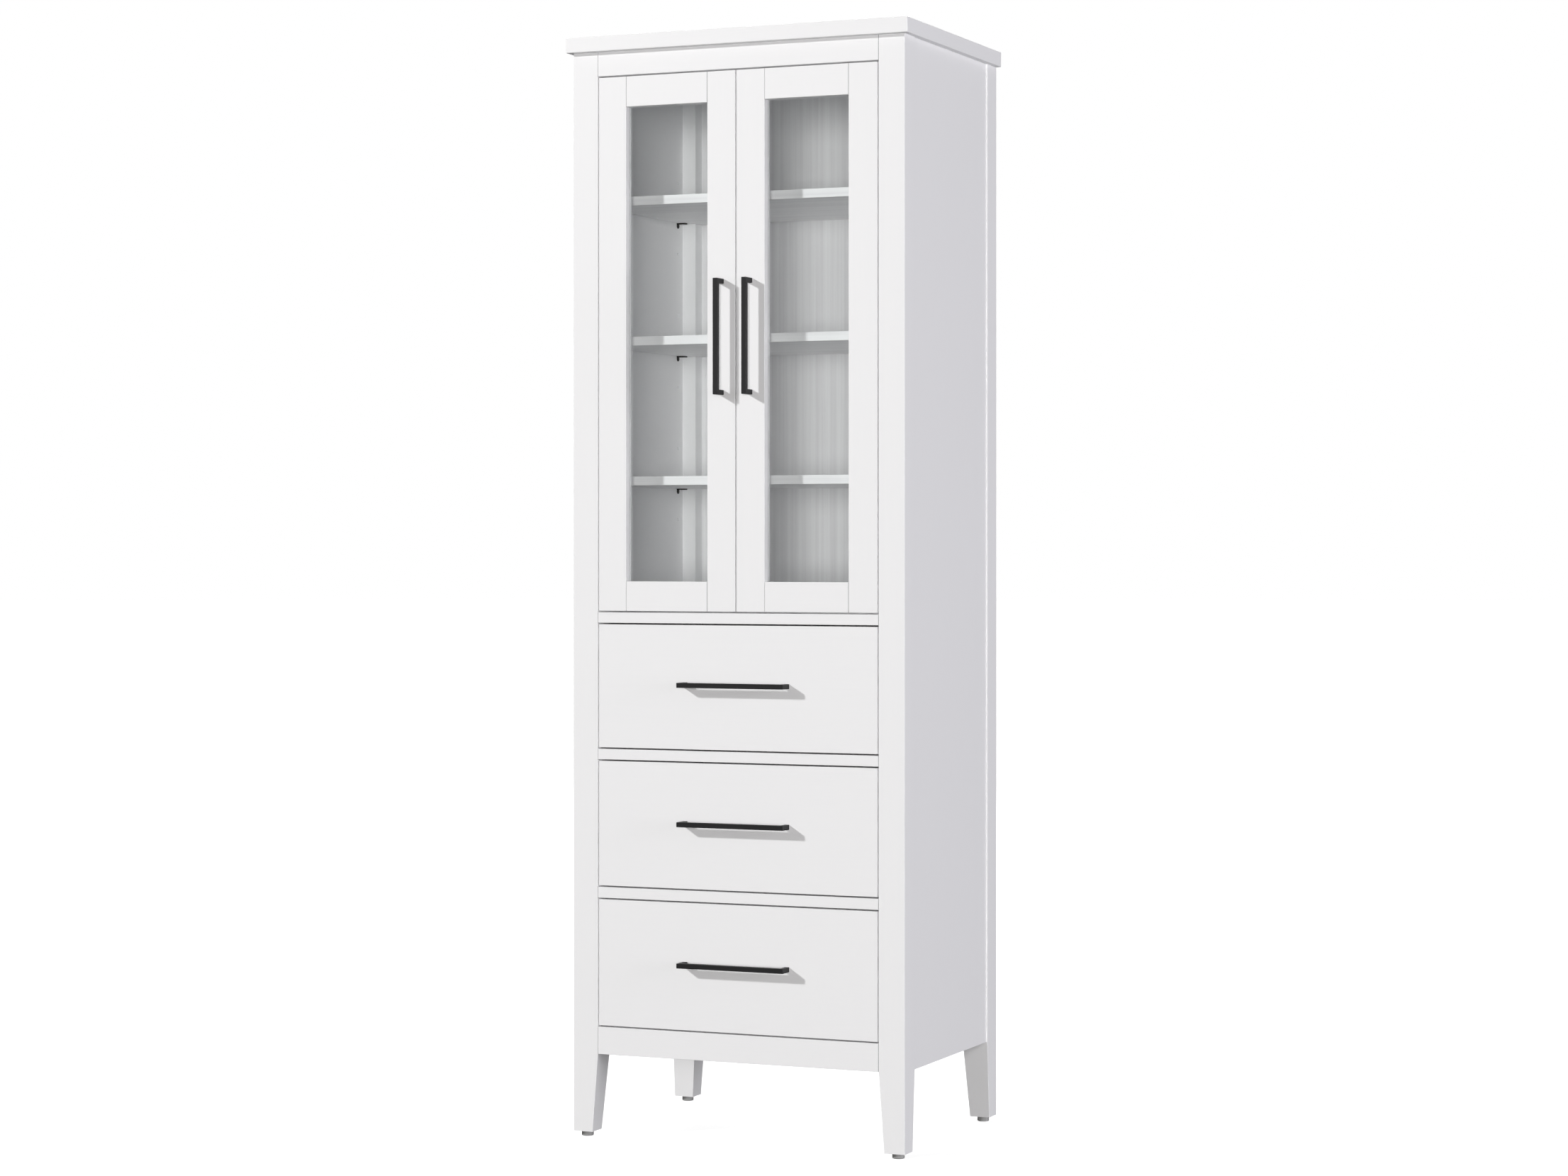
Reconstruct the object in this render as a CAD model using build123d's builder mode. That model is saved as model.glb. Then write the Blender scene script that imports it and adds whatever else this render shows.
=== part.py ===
"""Tall free-standing cabinet: two inset glass doors over three drawers, on tapered corner posts.

Millimetres, +Z up, the front faces -Y. The origin is the centre of the bounding box's base, so the
cabinet stands on Z = 0. "Left" and "right" are as seen by somebody who stands in front of it.
"""

from build123d import *
import os

# Overall size
TOP_WIDTH = 610.0
TOP_HEIGHT = 1829.0
CASE_DEPTH = 432.0
HANDLE_REACH = 27.0

# Case
TOP_THICK = 25.0
TOP_SIDE_LIP = 9.0
TOP_FRONT_LIP = 11.0
POST = 45.0
LEG_FOOT = 35.0
CASE_BOTTOM = 139.0
PANEL_THICK = 18.0
PANEL_RECESS = 2.0
BACK_THICK = 9.0
RAIL_THICK = 20.0
BOARD_THICK = 15.0
REAR_RAIL_HEIGHT = 60.0
GLIDE_RADIUS = 10.0
GLIDE_HEIGHT = 9.0
GLIDE_ROUND = 1.5
EASE = 0.6
TOP_EASE = 1.2

# Levels of the front, from the floor
BOTTOM_RAIL_TOP = 184.5
LOWER_RAIL = (399.0, 417.0)
UPPER_RAIL = (629.0, 646.5)
MIDDLE_RAIL = (855.9, 873.3)
TOP_RAIL_BOTTOM = 1763.65

# Gaps round the inset doors and drawer fronts
SIDE_GAP = 2.0
LEVEL_GAP = 2.5
MEETING_GAP = 2.5

# Stop block behind the top rail, for both doors to close against
STOP_WIDTH = 60.0
STOP_THICK = 9.0
STOP_HEIGHT = 42.0
STOP_DROP = 20.0
STOP_CLEAR = 0.4

# Doors
DOOR_THICK = 20.0
STILE = 50.0
DOOR_TOP_RAIL = 50.25
DOOR_BOTTOM_RAIL = 49.05
GLASS_SETBACK = 14.0
GLASS_THICK = 3.2
REBATE = 8.0
GLASS_PLAY = 1.0
BEAD_PLAY = 0.2

# Concealed hinges
CUP_RADIUS = 17.5
CUP_FROM_EDGE = 22.0
CUP_DEPTH = 12.0
CUP_WALL = 1.0
CUP_PLAY = 0.1
HINGE_FROM_END = 95.0
WING_THICK = 1.2
WING_WIDTH = 16.0
WING_LENGTH = 58.0
WING_RING = 18.7
PLATE_THICK = 2.0
PLATE_DEPTH = 20.0
PLATE_HEIGHT = 50.0
PLATE_ROUND = 4.0
ARM_HEIGHT = 13.0
ARM_CLEAR = 1.8
ARM_THICK = 5.0
ARM_REACH = 32.0
ARM_NOSE = 7.0
ARM_DIP = 5.0
ARM_HEEL = 9.0
ARM_INSET = 1.6

# Shelves and their pins
SHELF_LEVELS = {"lower": 1084.5, "middle": 1318.0, "upper": 1552.0}
SHELF_SETBACK = 47.0
SHELF_PLAY = 1.0
PIN_FROM_ENDS = 65.0
PIN_DROP = 3.5
PIN_RADIUS = 2.5
PIN_HOLE_RADIUS = 2.6
PIN_HOLE_DEPTH = 9.0
PIN_LENGTH = 8.0
PIN_COLLAR = (4.5, 0.9)
PIN_TONGUE = (16.0, 10.0, 2.0)
SPARE_HOLES = (-50.5, 74.5)

# Handles
HANDLE_LENGTH = 190.0
HANDLE_FACE = 8.0
HANDLE_BAR = 9.0
HANDLE_EASE = 0.7
DOOR_HANDLE_X = 25.5
DOOR_HANDLE_Z = 1325.5
DRAWER_HANDLE_LIFT = 4.0

# Drawers
FRONT_THICK = 20.0
BOX_LENGTH = 350.0
BOX_HEIGHT = 160.0
BOX_LIFT = 12.0
BOX_BOARD = 12.0
BOX_BOTTOM = 6.0
BOX_BOTTOM_LIFT = 10.0
BOX_GROOVE = 6.0
GLUE_LINE = 0.1

# Ball-bearing slides, three members in each
SLIDE_ROOM = 12.7
SLIDE_LENGTH = 350.0
SLIDE_SETBACK = 2.0
SLIDE_RISE = 62.0
SLIDE_SHEET = 1.2
CLEAT_HEIGHT = 45.0
OUTER_HALF, OUTER_LIP = 22.5, 9.5
INNER_HALF, INNER_LIP = 13.9, 6.7
MIDDLE_HALF, MIDDLE_LIP, MIDDLE_FROM_CASE = 18.2, 7.1, 3.4

# Worked out from the sizes above
FRONT = HANDLE_REACH - (CASE_DEPTH + HANDLE_REACH) / 2
REAR = FRONT + CASE_DEPTH
HALF_TOP = TOP_WIDTH / 2
HALF_CASE = HALF_TOP - TOP_SIDE_LIP
OPENING = HALF_CASE - POST
TOP_UNDERSIDE = TOP_HEIGHT - TOP_THICK
PANEL_OUT = HALF_CASE - PANEL_RECESS
PANEL_IN = PANEL_OUT - PANEL_THICK
POST_BACK = FRONT + POST
POST_FACE = REAR - POST
BACK_FACE = REAR - 2 * BACK_THICK
DOOR_BACK = FRONT + DOOR_THICK
DOOR_BOTTOM = MIDDLE_RAIL[1] + LEVEL_GAP
DOOR_TOP = TOP_RAIL_BOTTOM - LEVEL_GAP
DOOR_EDGE = OPENING - SIDE_GAP
GLASS_EDGES = (MEETING_GAP / 2 + STILE, DOOR_EDGE - STILE)
GLASS_LEVELS = (DOOR_BOTTOM + DOOR_BOTTOM_RAIL, DOOR_TOP - DOOR_TOP_RAIL)
HINGE_LEVELS = (DOOR_BOTTOM + HINGE_FROM_END, DOOR_TOP - HINGE_FROM_END)
CUP_X = DOOR_EDGE - CUP_FROM_EDGE
HALF_BOX = OPENING - SLIDE_ROOM
BOX_FRONT = FRONT + FRONT_THICK
BOX_REAR = BOX_FRONT + BOX_LENGTH
DRAWERS = {
    "bottom": (BOTTOM_RAIL_TOP + LEVEL_GAP, LOWER_RAIL[0] - LEVEL_GAP),
    "middle": (LOWER_RAIL[1] + LEVEL_GAP, UPPER_RAIL[0] - LEVEL_GAP),
    "top": (UPPER_RAIL[1] + LEVEL_GAP, MIDDLE_RAIL[0] - LEVEL_GAP),
}
SIDES = {"left": -1, "right": 1}

os.makedirs("parts", exist_ok=True)


def keep(piece, name):
    """Label one finished piece and write it."""
    piece.part.label = name
    export_step(piece.part, f"parts/{name}.step")


def block(x, y, z, mode=Mode.ADD):
    """A box between two limits along each axis, added to the builder it is called in."""
    with Locations(tuple(sum(limits) / 2 for limits in (x, y, z))):
        Box(*(abs(limits[1] - limits[0]) for limits in (x, y, z)), mode=mode)


def board(x, y, z, ease=0.0):
    """One flat board, its front edges eased by a given radius."""
    with BuildPart() as piece:
        block(x, y, z)
        if ease:
            fillet(piece.faces().sort_by(Axis.Y)[0].edges(), ease)
    return piece


# Top board: overhangs the case at the front and sides, flush with it at the back
with BuildPart() as top_board:
    block((-HALF_TOP, HALF_TOP), (FRONT - TOP_FRONT_LIP, REAR), (TOP_UNDERSIDE, TOP_HEIGHT))
    fillet(top_board.edges(), TOP_EASE)
keep(top_board, "top_board")


def post(side, front):
    """A full-height corner post whose leg tapers on its two inner faces, below the case."""
    edge, inward = (FRONT, 1) if front else (REAR, -1)

    def section(level, size):
        """One eased square section, its outer corner always on the corner of the case."""
        with BuildSketch(Plane.XY.offset(level)) as square:
            with Locations((side * (HALF_CASE - size / 2), edge + inward * size / 2)):
                RectangleRounded(size, size, EASE)
        return square.sketch

    with BuildPart() as piece:
        loft([section(GLIDE_HEIGHT, LEG_FOOT), section(CASE_BOTTOM, POST)])
        extrude(section(CASE_BOTTOM, POST), amount=TOP_UNDERSIDE - CASE_BOTTOM)
    return piece


for name, side in SIDES.items():
    keep(post(side, True), f"front_{name}_post")
    keep(post(side, False), f"rear_{name}_post")

# Round glides under the four legs
with BuildPart() as foot_glides:
    glide_x = HALF_CASE - LEG_FOOT / 2
    with BuildSketch():
        with Locations(*((x, y) for x in (-glide_x, glide_x)
                         for y in (FRONT + LEG_FOOT / 2, REAR - LEG_FOOT / 2))):
            Circle(GLIDE_RADIUS)
    extrude(amount=GLIDE_HEIGHT)
    fillet(foot_glides.faces().group_by(Axis.Z)[0].edges(), GLIDE_ROUND)
keep(foot_glides, "foot_glides")

# Side panels, recessed between the posts, with rows of shelf-pin holes on the inside
for name, side in SIDES.items():
    with BuildPart() as side_panel:
        block(
            (side * PANEL_IN, side * PANEL_OUT),
            (POST_BACK, POST_FACE),
            (CASE_BOTTOM, TOP_UNDERSIDE),
        )
        with BuildSketch(Plane.YZ.offset(side * PANEL_IN)):
            with Locations(*((y, level - PIN_DROP + step)
                             for y in (FRONT + PIN_FROM_ENDS, REAR - PIN_FROM_ENDS)
                             for level in SHELF_LEVELS.values()
                             for step in (0, *SPARE_HOLES))):
                Circle(PIN_HOLE_RADIUS)
        extrude(amount=side * PIN_HOLE_DEPTH, mode=Mode.SUBTRACT)
    keep(side_panel, f"{name}_side_panel")

# Back panel between the rear posts, and the two rails that close the case behind it
width = (-OPENING, OPENING)
keep(board(width, (BACK_FACE, BACK_FACE + BACK_THICK), (CASE_BOTTOM, TOP_UNDERSIDE)), "back_panel")
with BuildPart() as rear_rails:
    for low in (CASE_BOTTOM, TOP_UNDERSIDE - REAR_RAIL_HEIGHT):
        block(width, (REAR - BACK_THICK, REAR), (low, low + REAR_RAIL_HEIGHT))
keep(rear_rails, "rear_rails")

# Rails across the front, all flush with the posts
rail = (FRONT, FRONT + RAIL_THICK)
keep(board(width, rail, (TOP_RAIL_BOTTOM, TOP_UNDERSIDE), EASE), "top_rail")
keep(board(width, rail, MIDDLE_RAIL, EASE), "middle_rail")
keep(board(width, (FRONT, POST_BACK), UPPER_RAIL, EASE), "upper_drawer_rail")
keep(board(width, (FRONT, POST_BACK), LOWER_RAIL, EASE), "lower_drawer_rail")
keep(board(width, rail, (CASE_BOTTOM, BOTTOM_RAIL_TOP), EASE), "bottom_rail")

with BuildPart() as door_stop:
    stop_x = (-STOP_WIDTH / 2, STOP_WIDTH / 2)
    stop_low = TOP_RAIL_BOTTOM - STOP_DROP
    block(stop_x, (rail[1], rail[1] + STOP_THICK), (stop_low, stop_low + STOP_HEIGHT))
    block(stop_x, (rail[1], rail[1] + STOP_CLEAR), (stop_low, TOP_RAIL_BOTTOM), Mode.SUBTRACT)
keep(door_stop, "door_stop")


def inner_board(low, front, play):
    """A level board inside the case, notched round the posts it passes, with play at its edges."""
    wide, narrow = PANEL_IN - play, OPENING - play
    if front < POST_BACK:
        right = [(narrow, front), (narrow, POST_BACK), (wide, POST_BACK)]
    else:
        right = [(wide, front)]
    right += [(wide, POST_FACE - play), (narrow, POST_FACE - play), (narrow, BACK_FACE - play)]
    left = [(-x, y) for x, y in reversed(right)]
    with BuildPart() as piece:
        with BuildSketch(Plane.XY.offset(low)):
            with BuildLine():
                Polyline(*right, *left, close=True)
            make_face()
        extrude(amount=BOARD_THICK)
        fillet(piece.faces().sort_by(Axis.Y)[0].edges(), EASE)
    return piece


keep(inner_board(MIDDLE_RAIL[1] - BOARD_THICK, rail[1], 0), "divider_board")
keep(inner_board(BOTTOM_RAIL_TOP - BOARD_THICK, rail[1], 0), "bottom_board")
for name, level in SHELF_LEVELS.items():
    keep(inner_board(level, FRONT + SHELF_SETBACK, SHELF_PLAY), f"{name}_shelf")

# Shelf pins: a peg in the side panel, a collar against it and a tongue under the shelf
with BuildPart() as shelf_pins:
    for side in SIDES.values():
        for y in (FRONT + PIN_FROM_ENDS, REAR - PIN_FROM_ENDS):
            for level in SHELF_LEVELS.values():
                axis = Plane.YZ.offset(side * PANEL_IN)
                with BuildSketch(axis):
                    with Locations((y, level - PIN_DROP)):
                        Circle(PIN_RADIUS)
                extrude(amount=side * PIN_LENGTH)
                with BuildSketch(axis):
                    with Locations((y, level - PIN_COLLAR[0])):
                        Circle(PIN_COLLAR[0])
                extrude(amount=-side * PIN_COLLAR[1])
                tongue = (side * PANEL_IN, side * (PANEL_IN - PIN_TONGUE[0]))
                across = (y - PIN_TONGUE[1] / 2, y + PIN_TONGUE[1] / 2)
                block(tongue, across, (level - PIN_TONGUE[2], level))
keep(shelf_pins, "shelf_pins")


def door_member(side, x, z, bored=False):
    """One stile or rail of a door: eased in front, rebated behind for the glass, bored for cups."""
    with BuildPart() as piece:
        block([side * edge for edge in x], (FRONT, DOOR_BACK), z)
        fillet(piece.faces().sort_by(Axis.Y)[0].edges(), EASE)
        block(
            (side * (GLASS_EDGES[0] - REBATE), side * (GLASS_EDGES[1] + REBATE)),
            (FRONT + GLASS_SETBACK, DOOR_BACK),
            (GLASS_LEVELS[0] - REBATE, GLASS_LEVELS[1] + REBATE),
            Mode.SUBTRACT,
        )
        if bored:
            with BuildSketch(Plane.XZ.offset(-DOOR_BACK)):
                with Locations(*((side * CUP_X, level) for level in HINGE_LEVELS)):
                    Circle(CUP_RADIUS)
            extrude(amount=CUP_DEPTH, mode=Mode.SUBTRACT)
    return piece


def cups(side):
    """Two pressed cups with screw wings, let into the back of a hinge stile."""
    with BuildPart() as piece:
        spots = [(side * CUP_X, level) for level in HINGE_LEVELS]
        with BuildSketch(Plane.XZ.offset(-DOOR_BACK)):
            with Locations(*spots):
                Circle(CUP_RADIUS - CUP_PLAY)
        extrude(amount=CUP_DEPTH - CUP_PLAY)
        with BuildSketch(Plane.XZ.offset(-DOOR_BACK)):
            with Locations(*spots):
                Circle(WING_RING)
                SlotOverall(WING_LENGTH, WING_WIDTH, rotation=90)
        extrude(amount=-WING_THICK)
        with BuildSketch(Plane.XZ.offset(-DOOR_BACK - WING_THICK)):
            with Locations(*spots):
                Circle(CUP_RADIUS - CUP_PLAY - CUP_WALL)
        extrude(amount=CUP_DEPTH - CUP_PLAY - CUP_WALL + WING_THICK, mode=Mode.SUBTRACT)
    return piece


def beads(side):
    """Four glazing beads that hold the glass in its rebate from behind."""
    near, far = GLASS_EDGES[0] - REBATE + BEAD_PLAY, GLASS_EDGES[1] + REBATE - BEAD_PLAY
    low, high = GLASS_LEVELS[0] - REBATE + BEAD_PLAY, GLASS_LEVELS[1] + REBATE - BEAD_PLAY
    bead = REBATE - BEAD_PLAY
    depth = (FRONT + GLASS_SETBACK + GLASS_THICK, DOOR_BACK)
    with BuildPart() as piece:
        for edge in (near, far - bead):
            block((side * edge, side * (edge + bead)), depth, (low, high))
        inner = (side * (near + bead + GLUE_LINE), side * (far - bead - GLUE_LINE))
        for edge in (low, high - bead):
            block(inner, depth, (edge, edge + bead))
    return piece


def handle(x, z, upright):
    """A square bar pull on two feet, set upright or level on the front plane."""
    half, bar = HANDLE_LENGTH / 2, HANDLE_FACE / 2
    grip = (FRONT - HANDLE_REACH, FRONT - HANDLE_REACH + HANDLE_BAR)
    with BuildPart() as piece:
        if upright:
            block((x - bar, x + bar), grip, (z - half, z + half))
        else:
            block((x - half, x + half), grip, (z - bar, z + bar))
        for end in (bar - half, half - bar):
            foot = (x, z + end) if upright else (x + end, z)
            block((foot[0] - bar, foot[0] + bar), (grip[1], FRONT), (foot[1] - bar, foot[1] + bar))
        fillet(piece.edges().filter_by(lambda line: line.center().Y < FRONT - HANDLE_EASE), HANDLE_EASE)
    return piece


# Two glazed doors
for name, side in SIDES.items():
    levels = (DOOR_BOTTOM, DOOR_TOP)
    hinged = (GLASS_EDGES[1], DOOR_EDGE)
    keep(door_member(side, hinged, levels, bored=True), f"{name}_door_hinge_stile")
    meeting = (MEETING_GAP / 2, GLASS_EDGES[0])
    keep(door_member(side, meeting, levels), f"{name}_door_meeting_stile")
    top = (GLASS_LEVELS[1], DOOR_TOP)
    keep(door_member(side, GLASS_EDGES, top), f"{name}_door_top_rail")
    bottom = (DOOR_BOTTOM, GLASS_LEVELS[0])
    keep(door_member(side, GLASS_EDGES, bottom), f"{name}_door_bottom_rail")
    reach = REBATE - GLASS_PLAY
    glass = board(
        (side * (GLASS_EDGES[0] - reach), side * (GLASS_EDGES[1] + reach)),
        (FRONT + GLASS_SETBACK, FRONT + GLASS_SETBACK + GLASS_THICK),
        (GLASS_LEVELS[0] - reach, GLASS_LEVELS[1] + reach),
    )
    keep(glass, f"{name}_door_glass")
    keep(beads(side), f"{name}_door_beads")
    keep(cups(side), f"{name}_hinge_cups")
    keep(handle(side * DOOR_HANDLE_X, DOOR_HANDLE_Z, True), f"{name}_door_handle")

# Hinge plates on the front posts, and the cranked arms that reach from them over the cups
plate_middle = POST_BACK - PLATE_DEPTH / 2 - EASE
with BuildPart() as hinge_plates:
    for side in SIDES.values():
        with BuildSketch(Plane.YZ.offset(side * OPENING)):
            with Locations(*((plate_middle, level) for level in HINGE_LEVELS)):
                RectangleRounded(PLATE_DEPTH, PLATE_HEIGHT, PLATE_ROUND)
        extrude(amount=-side * PLATE_THICK)
keep(hinge_plates, "hinge_plates")

with BuildPart() as hinge_arms:
    for side in SIDES.values():
        base = OPENING - PLATE_THICK
        near = DOOR_BACK + ARM_CLEAR
        outline = [
            (base, POST_BACK - ARM_INSET),
            (base, near),
            (OPENING - ARM_REACH + ARM_NOSE, near),
            (OPENING - ARM_REACH + ARM_NOSE, near - ARM_CLEAR - ARM_DIP),
            (OPENING - ARM_REACH, near - ARM_CLEAR - ARM_DIP),
            (OPENING - ARM_REACH, near + ARM_THICK),
            (base - ARM_HEEL, near + ARM_THICK),
            (base - ARM_HEEL, POST_BACK - ARM_INSET),
        ]
        for level in HINGE_LEVELS:
            with BuildSketch(Plane.XY.offset(level - ARM_HEIGHT / 2)):
                with BuildLine():
                    Polyline(*((side * x, y) for x, y in outline), close=True)
                make_face()
            extrude(amount=ARM_HEIGHT)
keep(hinge_arms, "hinge_arms")


def channels(web, lip, half, levels):
    """Pairs of rolled channels, one on each side of the case, at one or more levels.

    web is the distance of the web's back from the middle of the cabinet, lip is how far the
    flanges reach, measured towards the middle where it is negative, and half is half the height.
    """
    turn = 1 if lip > 0 else -1
    sheet = turn * SLIDE_SHEET
    start = BOX_FRONT + SLIDE_SETBACK
    with BuildPart() as piece:
        for side in SIDES.values():
            for level in levels:
                profile = [
                    (web, half),
                    (web + lip, half),
                    (web + lip, half - SLIDE_SHEET),
                    (web + sheet, half - SLIDE_SHEET),
                ]
                profile += [(x, -z) for x, z in reversed(profile)]
                with BuildSketch(Plane.XZ.offset(-start - SLIDE_LENGTH)):
                    with BuildLine():
                        Polyline(*((side * x, level + z) for x, z in profile), close=True)
                    make_face()
                extrude(amount=SLIDE_LENGTH)
    return piece


slide_levels = [low + BOX_LIFT + SLIDE_RISE for low, _ in DRAWERS.values()]
keep(channels(OPENING, -OUTER_LIP, OUTER_HALF, slide_levels), "cabinet_runners")

# Cleats that bring the side panels out to the faces of the posts, for the runners to screw to
with BuildPart() as runner_cleats:
    for side in SIDES.values():
        for level in slide_levels:
            block(
                (side * OPENING, side * PANEL_IN),
                (POST_BACK, POST_FACE),
                (level - CLEAT_HEIGHT / 2, level + CLEAT_HEIGHT / 2),
            )
keep(runner_cleats, "runner_cleats")


def drawer_box(low):
    """Two sides, a sub-front and a back, grooved inside for the bottom."""
    levels = (low, low + BOX_HEIGHT)
    inside = HALF_BOX - BOX_BOARD
    with BuildPart() as piece:
        for side in SIDES.values():
            block((side * inside, side * HALF_BOX), (BOX_FRONT, BOX_REAR), levels)
        across = (GLUE_LINE - inside, inside - GLUE_LINE)
        for start in (BOX_FRONT, BOX_REAR - BOX_BOARD):
            block(across, (start, start + BOX_BOARD), levels)
        half = inside + BOX_GROOVE
        reach = (BOX_FRONT + BOX_BOARD - BOX_GROOVE, BOX_REAR - BOX_BOARD + BOX_GROOVE)
        floor = (low + BOX_BOTTOM_LIFT, low + BOX_BOTTOM_LIFT + BOX_BOTTOM)
        block((-half, half), reach, floor, Mode.SUBTRACT)
    bottom = board((-half, half), reach, floor)
    return piece, bottom


# Three drawers, each with its front, box, bottom, handle and slide members
for (name, (low, high)), slide_level in zip(DRAWERS.items(), slide_levels):
    face = board((-DOOR_EDGE, DOOR_EDGE), (FRONT, BOX_FRONT), (low, high), EASE)
    keep(face, f"{name}_drawer_front")
    box, box_bottom = drawer_box(low + BOX_LIFT)
    keep(box, f"{name}_drawer_box")
    keep(box_bottom, f"{name}_drawer_bottom")
    keep(handle(0, (low + high) / 2 + DRAWER_HANDLE_LIFT, False), f"{name}_drawer_handle")
    keep(channels(HALF_BOX, INNER_LIP, INNER_HALF, [slide_level]), f"{name}_drawer_runners")
    middle = channels(OPENING - MIDDLE_FROM_CASE, -MIDDLE_LIP, MIDDLE_HALF, [slide_level])
    keep(middle, f"{name}_drawer_slide_middles")
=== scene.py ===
import math

import bmesh
import bpy
import numpy as np
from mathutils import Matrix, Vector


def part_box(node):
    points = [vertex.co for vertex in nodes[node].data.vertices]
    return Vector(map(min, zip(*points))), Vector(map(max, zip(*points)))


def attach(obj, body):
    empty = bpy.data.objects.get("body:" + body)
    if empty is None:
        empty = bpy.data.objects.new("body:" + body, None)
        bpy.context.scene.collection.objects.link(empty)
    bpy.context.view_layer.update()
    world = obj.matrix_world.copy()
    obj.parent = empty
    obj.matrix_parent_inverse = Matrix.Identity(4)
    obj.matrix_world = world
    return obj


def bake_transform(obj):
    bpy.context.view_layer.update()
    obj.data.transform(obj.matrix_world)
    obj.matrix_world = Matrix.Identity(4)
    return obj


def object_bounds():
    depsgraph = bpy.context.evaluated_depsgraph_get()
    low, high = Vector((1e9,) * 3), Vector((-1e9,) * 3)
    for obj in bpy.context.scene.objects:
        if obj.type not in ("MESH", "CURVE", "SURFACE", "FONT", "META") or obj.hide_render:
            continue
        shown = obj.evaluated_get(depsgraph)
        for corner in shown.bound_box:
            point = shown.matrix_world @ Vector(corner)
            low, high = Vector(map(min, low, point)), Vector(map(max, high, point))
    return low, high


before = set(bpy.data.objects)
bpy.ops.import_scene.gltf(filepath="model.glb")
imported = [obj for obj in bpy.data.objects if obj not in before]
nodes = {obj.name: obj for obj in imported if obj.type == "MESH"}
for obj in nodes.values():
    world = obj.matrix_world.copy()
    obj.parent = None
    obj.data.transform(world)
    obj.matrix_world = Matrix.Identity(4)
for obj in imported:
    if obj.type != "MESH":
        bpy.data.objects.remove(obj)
cad_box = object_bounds()
MM = 0.001


# ---- Studio ---------------------------------------------------------------------------------
# A level camera with a long lens stands in front of the cabinet, a little to its right. A small
# soft box lights it from the front left, and wide ones fill from the front, the right and behind.
# A white tent fills in from all round, and the matt white floor runs out into it with no line.
LENS_MM = 79.45
CAMERA_PLACE = (2.3096, -5.3624, 0.9806)
CAMERA_HEADING = 23.315
CAMERA_SHIFT = -0.0257
# Degrees left of the front, degrees up, metres away, metres across, watts and tone of each box.
SOFT_BOXES = {
    "key_soft_box": (45.0, 23.0, 12.0, 0.7, 850.0, "FFFFFF"),
    "front_soft_box": (-18.0, 1.0, 10.0, 2.6, 445.0, "FFFDFC"),
    "side_soft_box": (-85.0, 2.0, 9.0, 5.0, 610.0, "FAF9FF"),
    "rear_soft_box": (150.0, 30.0, 7.0, 4.0, 500.0, "FFFFFF"),
}
TENT_LIGHT = 0.07
TENT_SEEN = 1.0
TENT_TONE = "FFFFFF"
LIGHT_BOUNCES = 12
FLOOR_RADIUS = 60.0
FLOOR_GRID = (12, 64)
FLOOR_TONES = ("9E9E9D", "9A9A9A")
FLOOR_ROUGHNESS = 0.9
FLOOR_PATCHES = 1.5
FLOOR_GLOW = (0.9, 1.0)
FLOOR_GLOW_REACH = (1.0, 6.0)


def linear(code):
    """sRGB hex to linear light: c / 12.92 up to 0.04045, and ((c + 0.055) / 1.055) ** 2.4 above."""
    c = np.array([int(code[i:i + 2], 16) for i in (0, 2, 4)]) / 255
    light = np.where(c <= 0.04045, c / 12.92, ((c + 0.055) / 1.055) ** 2.4)
    return (*light.tolist(), 1.0)


def add_node(tree, kind, inputs=None, **settings):
    """Add one node with its own settings, and with a value or a link for each socket named."""
    node = tree.nodes.new(kind)
    for name, value in settings.items():
        setattr(node, name, value)
    for name, value in (inputs or {}).items():
        if isinstance(value, bpy.types.NodeSocket):
            tree.links.new(value, node.inputs[name])
        else:
            node.inputs[name].default_value = value
    return node


scene = bpy.context.scene
scene.view_settings.view_transform = "Standard"
scene.cycles.diffuse_bounces = LIGHT_BOUNCES

lens = bpy.data.cameras.new("level_camera")
lens.lens = LENS_MM
lens.shift_y = CAMERA_SHIFT
camera = bpy.data.objects.new("level_camera", lens)
camera.location = CAMERA_PLACE
camera.rotation_euler = (math.pi / 2, 0, math.radians(CAMERA_HEADING))
scene.collection.objects.link(camera)
scene.camera = camera

lit = (np.array(cad_box[0]) + np.array(cad_box[1])) / 2
for name, (leftward, upward, away, across, watts, tone) in SOFT_BOXES.items():
    turn, rise = math.radians(leftward), math.radians(upward)
    towards = (-math.sin(turn) * math.cos(rise), -math.cos(turn) * math.cos(rise), math.sin(rise))
    lamp = bpy.data.lights.new(name, "AREA")
    lamp.shape = "DISK"
    lamp.size = across
    lamp.energy = watts
    lamp.color = linear(tone)[:3]
    stand = bpy.data.objects.new(name, lamp)
    stand.location = lit + away * np.array(towards)
    stand.rotation_euler = Vector(towards).to_track_quat("Z", "Y").to_euler()
    scene.collection.objects.link(stand)

tent = bpy.data.worlds.new("white_tent")
tent.use_nodes = True
tent.node_tree.nodes.clear()
seen = add_node(tent.node_tree, "ShaderNodeLightPath").outputs["Is Camera Ray"]
strength = add_node(
    tent.node_tree,
    "ShaderNodeMapRange",
    {"Value": seen, "To Min": TENT_LIGHT, "To Max": TENT_SEEN},
)
glow = add_node(
    tent.node_tree,
    "ShaderNodeBackground",
    {"Color": linear(TENT_TONE), "Strength": strength.outputs["Result"]},
)
add_node(tent.node_tree, "ShaderNodeOutputWorld", {"Surface": glow.outputs["Background"]})
scene.world = tent


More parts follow.
